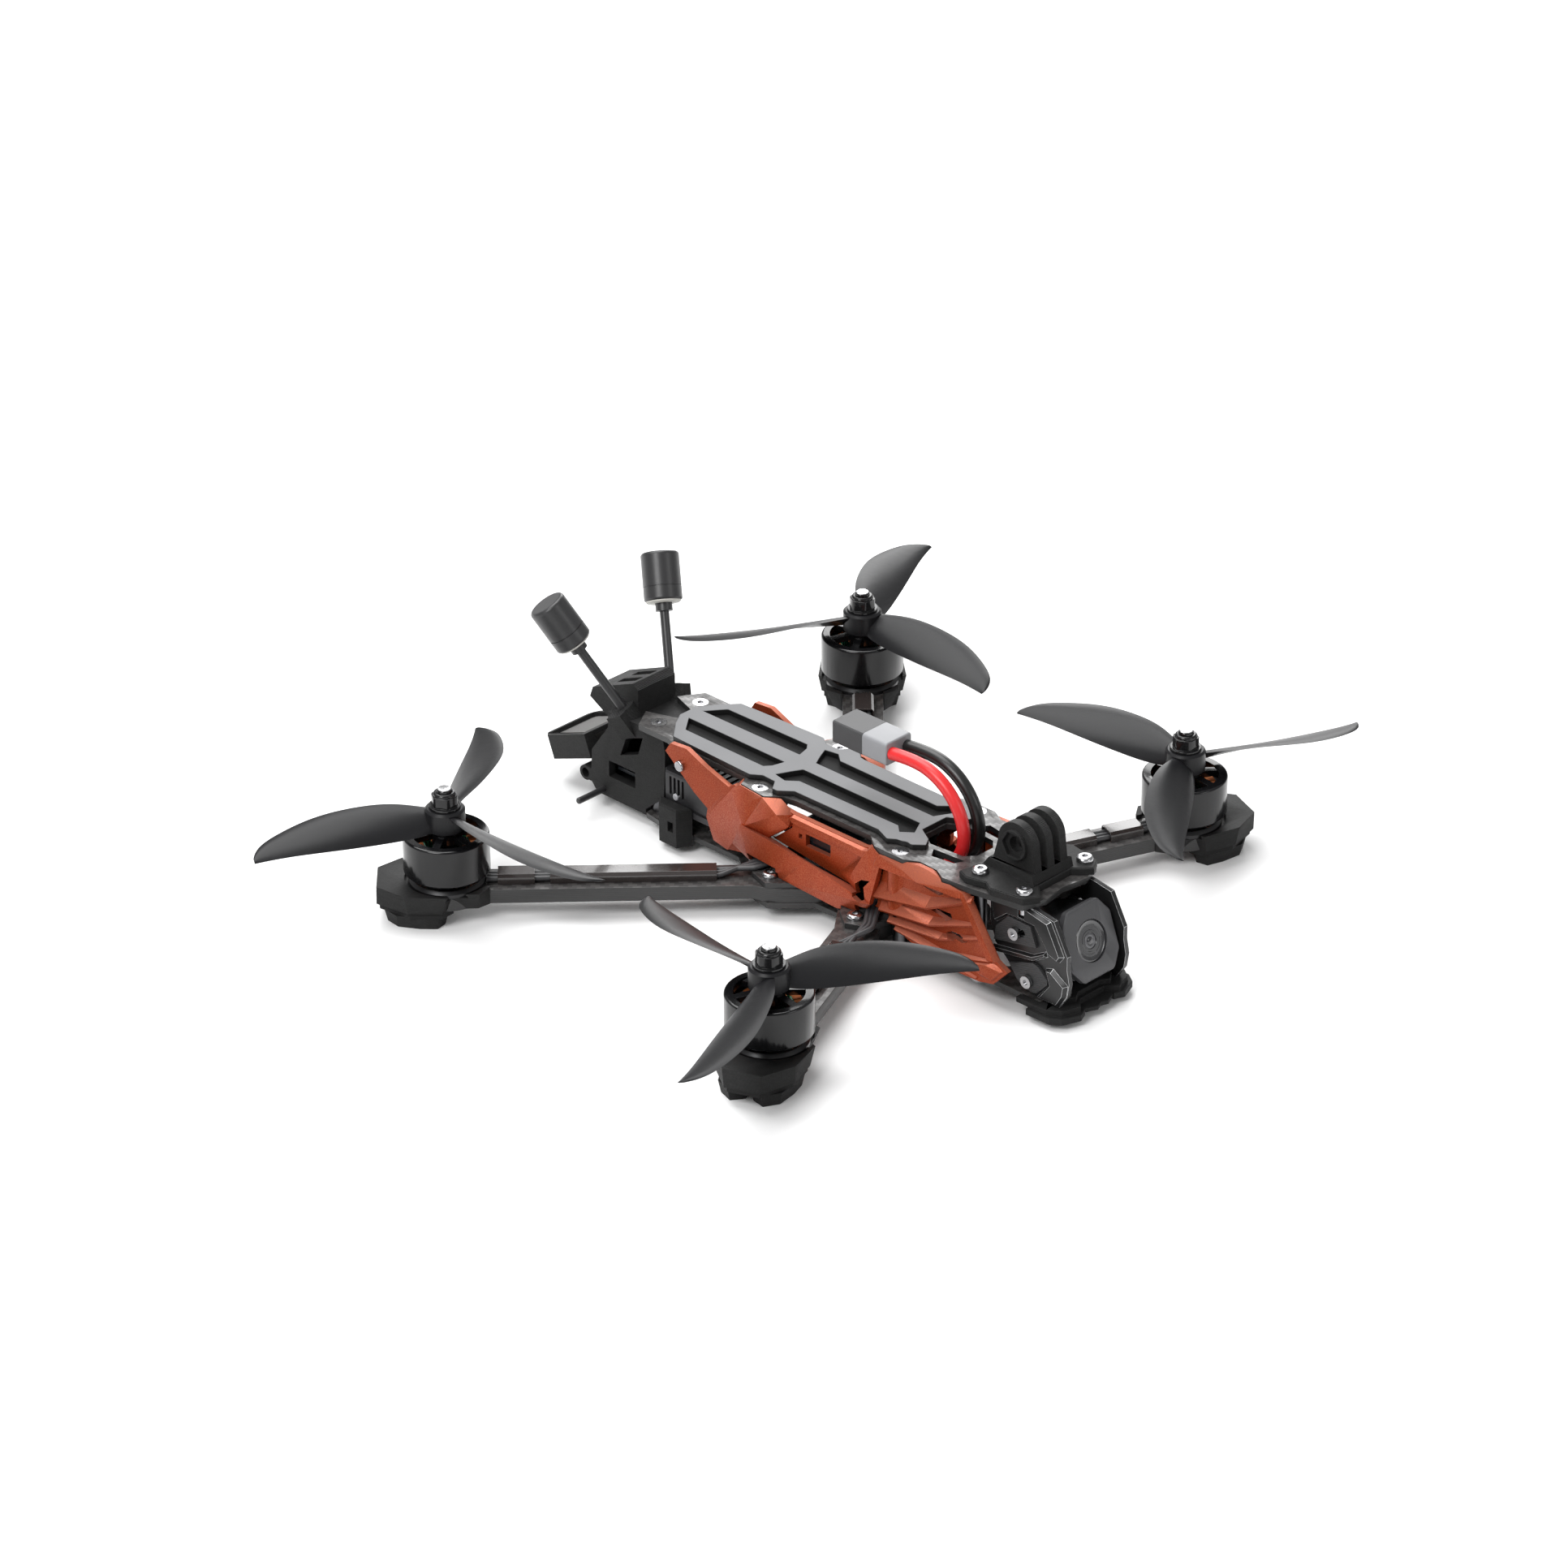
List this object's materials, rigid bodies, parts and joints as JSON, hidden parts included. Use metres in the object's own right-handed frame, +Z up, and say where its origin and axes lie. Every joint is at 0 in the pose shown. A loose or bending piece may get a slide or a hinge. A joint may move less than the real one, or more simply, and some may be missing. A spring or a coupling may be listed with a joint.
{
  "type": "quadcopter drone",
  "caption": "Freestyle quadcopter with a stacked carbon frame, armoured side covers, a tilting nose camera, open propellers and an action camera mount.",
  "frame": {"origin": "on the ground under the middle of the aircraft, midway between nose bumper and satellite receiver tray", "axes": "+Z up, the nose and its camera point to -Y, +X is the aircraft's own left side"},
  "size_m": [0.3172, 0.2424, 0.08],
  "materials": {
    "carbon": "woven carbon fibre with a satin resin face and black layered edges",
    "printed_rubber": "black printed flexible plastic with fine layer lines",
    "cover_orange": "metallic copper orange with a fine sandy grain",
    "pad_rubber": "mid-grey silicone with a matt face",
    "bell_black": "gloss black anodised",
    "motor_metal": "black anodised",
    "copper": "enamelled copper wire",
    "prop_plastic": "dark grey satin plastic",
    "nut_black": "black anodised",
    "steel": "bright steel",
    "post_metal": "satin",
    "board": "dark solder mask",
    "air_metal": "dark anodised",
    "button_plastic": "plain",
    "can_black": "sleeved",
    "connector_black": "satin",
    "connector_grey": "satin",
    "lead_red": "satin silicone",
    "lead_black": "satin silicone",
    "wire_grey": "satin silicone",
    "sleeve_black": "gloss",
    "antenna_plastic": "satin",
    "tray_plastic": "satin",
    "ceramic": "ceramic patch with a printed label",
    "cage_metal": "dark satin with polished edges",
    "inlay_plastic": "fine ribs",
    "camera_black": "satin",
    "bezel_metal": "dark satin",
    "lens_glass": "coated",
    "grommet_rubber": "soft"
  },
  "bodies": {
    "frame": {"action_camera_mount": "printed_rubber", "air_unit": "air_metal", "antenna_caps": "antenna_plastic", "antenna_stems": "antenna_plastic", "arm_front_left": "carbon", "arm_front_right": "carbon", "arm_guards": "printed_rubber", "arm_rear_left": "carbon", "arm_rear_right": "carbon", "arm_screws": "steel", "battery_pad": "pad_rubber", "bottom_plate": "carbon", "cage_inlays": "inlay_plastic", "cage_plate_left": "cage_metal", "cage_plate_right": "cage_metal", "capacitor": "can_black", "clamp_plate": "carbon", "connector_cover": "connector_grey", "flight_controller": "board", "frame_screws": "steel", "gps_module": "ceramic", "gps_tray": "tray_plastic", "lead_black": "lead_black", "lead_red": "lead_red", "lead_sleeves": "sleeve_black", "motor_bases": "motor_metal", "motor_leads": "wire_grey", "motor_screws": "steel", "mount_screws": "steel", "nose_bumper": "printed_rubber", "power_connector": "connector_black", "rear_bumpers": "printed_rubber", "receiver": "board", "receiver_aerials": "antenna_plastic", "side_cover_left": "cover_orange", "side_cover_right": "cover_orange", "speed_controller": "board", "stack_grommets": "grommet_rubber", "stack_screws": "steel", "standoffs": "post_metal", "stator_windings": "copper", "tail_mount": "printed_rubber", "top_plate": "carbon"},
    "rotor_front_left": {"motor_bell_front_left": "bell_black", "propeller_front_left": "prop_plastic", "prop_nut_front_left": "nut_black"},
    "rotor_front_right": {"motor_bell_front_right": "bell_black", "propeller_front_right": "prop_plastic", "prop_nut_front_right": "nut_black"},
    "rotor_rear_left": {"motor_bell_rear_left": "bell_black", "propeller_rear_left": "prop_plastic", "prop_nut_rear_left": "nut_black"},
    "rotor_rear_right": {"motor_bell_rear_right": "bell_black", "propeller_rear_right": "prop_plastic", "prop_nut_rear_right": "nut_black"},
    "camera": {"camera_housing": "camera_black", "camera_bezel": "bezel_metal", "camera_glass": "lens_glass", "camera_screws": "steel"},
    "button": {"link_button": "button_plastic"}
  },
  "joints": [
    {"name": "rotor_front_left_spin", "type": "hinge", "parent": "frame", "child": "rotor_front_left", "pos_m": [0.09735, -0.07, 0.0305], "axis": [0, 0, 1], "continuous": true},
    {"name": "rotor_front_right_spin", "type": "hinge", "parent": "frame", "child": "rotor_front_right", "pos_m": [-0.09735, -0.07, 0.0305], "axis": [0, 0, 1], "continuous": true},
    {"name": "rotor_rear_left_spin", "type": "hinge", "parent": "frame", "child": "rotor_rear_left", "pos_m": [0.09735, 0.0762, 0.0305], "axis": [0, 0, 1], "continuous": true},
    {"name": "rotor_rear_right_spin", "type": "hinge", "parent": "frame", "child": "rotor_rear_right", "pos_m": [-0.09735, 0.0762, 0.0305], "axis": [0, 0, 1], "continuous": true},
    {"name": "camera_tilt", "type": "hinge", "parent": "frame", "child": "camera", "pos_m": [0, -0.1032, 0.0117], "axis": [-1, 0, 0], "range_deg": [-8, 6]},
    {"name": "link_button_press", "type": "slide", "parent": "frame", "child": "button", "axis": [1, 0, 0], "range_m": [0, 0.0005], "stiffness_N_per_m": 400, "springref_m": -0.0003}
  ]
}
